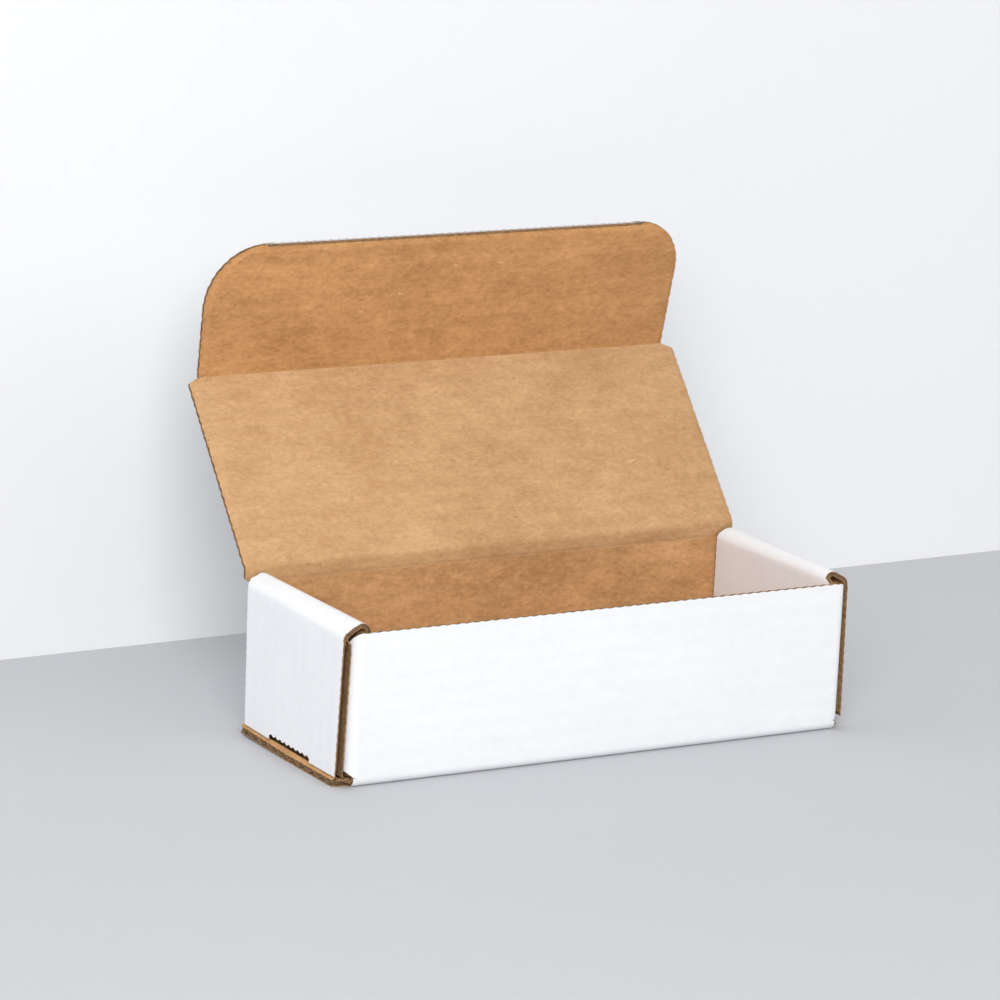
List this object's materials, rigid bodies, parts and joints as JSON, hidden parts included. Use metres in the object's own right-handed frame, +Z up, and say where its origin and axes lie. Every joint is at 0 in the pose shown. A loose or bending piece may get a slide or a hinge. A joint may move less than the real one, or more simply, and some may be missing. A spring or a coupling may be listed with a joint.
{
  "type": "corrugated mailer box",
  "caption": "Small corrugated mailer box, white outside and kraft inside, with rolled double ends and a hinged lid that stands open with its rounded front flap.",
  "frame": {"origin": "middle of the underside of the base, on the surface it stands on", "axes": "+X along the box's length, -Y towards the front wall, +Y towards the lid's hinge, +Z up"},
  "size_m": [0.1914, 0.1172, 0.1518],
  "materials": {
    "white_liner": "matt bleached paper liner",
    "kraft_liner": "matt brown kraft paper liner"
  },
  "bodies": {
    "tray": {"tray": "white_liner"},
    "lid": {"lid": "kraft_liner"},
    "front_flap": {"front_flap": "kraft_liner"}
  },
  "joints": [
    {"name": "lid_hinge", "type": "hinge", "parent": "tray", "child": "lid", "pos_m": [0, 0.0335, 0.05479], "axis": [1, 0, 0], "range_deg": [-48, 132]},
    {"name": "flap_hinge", "type": "hinge", "parent": "lid", "child": "front_flap", "pos_m": [0, 0.08067, 0.10718], "axis": [1, 0, 0], "range_deg": [-52, 38]}
  ]
}
